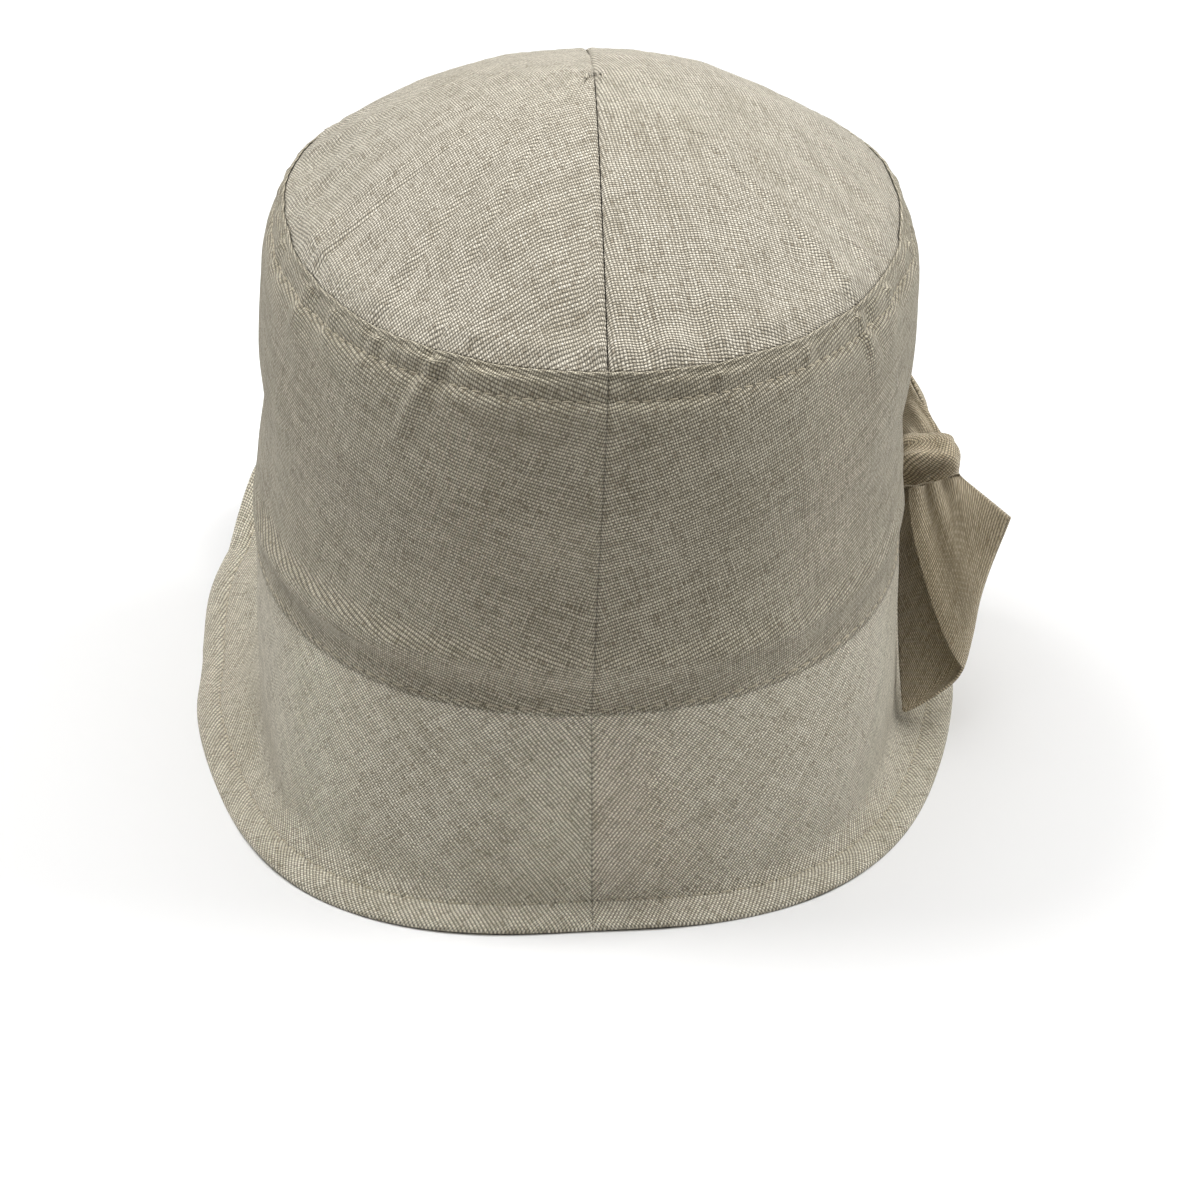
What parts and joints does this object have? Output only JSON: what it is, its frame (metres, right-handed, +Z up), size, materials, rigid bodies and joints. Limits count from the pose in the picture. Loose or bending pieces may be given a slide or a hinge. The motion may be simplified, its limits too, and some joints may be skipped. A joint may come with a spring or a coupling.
{
  "type": "cloche bucket hat",
  "caption": "Soft woven cloche hat with a domed tip, an upright band, a stitched brim turned up at the front and a folded side bow; it covers and shades the head.",
  "frame": {"origin": "middle of the hat's box, on the surface that the brim rests on", "axes": "+Z up through the crown, -Y towards the front of the hat, +X towards the wearer's left"},
  "size_m": [0.2088, 0.2304, 0.1837],
  "materials": {
    "linen": "matte plain weave, natural flax",
    "linen_underside": "matte plain weave, natural flax",
    "linen_bow": "matte fine plain weave, warmer natural flax"
  },
  "bodies": {
    "root": {"crown_tip_left": "linen", "crown_tip_right": "linen", "crown_band": "linen", "brim_top": "linen", "brim_facing": "linen_underside", "bow_loop_front": "linen_bow", "bow_loop_rear": "linen_bow", "bow_knot": "linen_bow"}
  },
  "joints": []
}
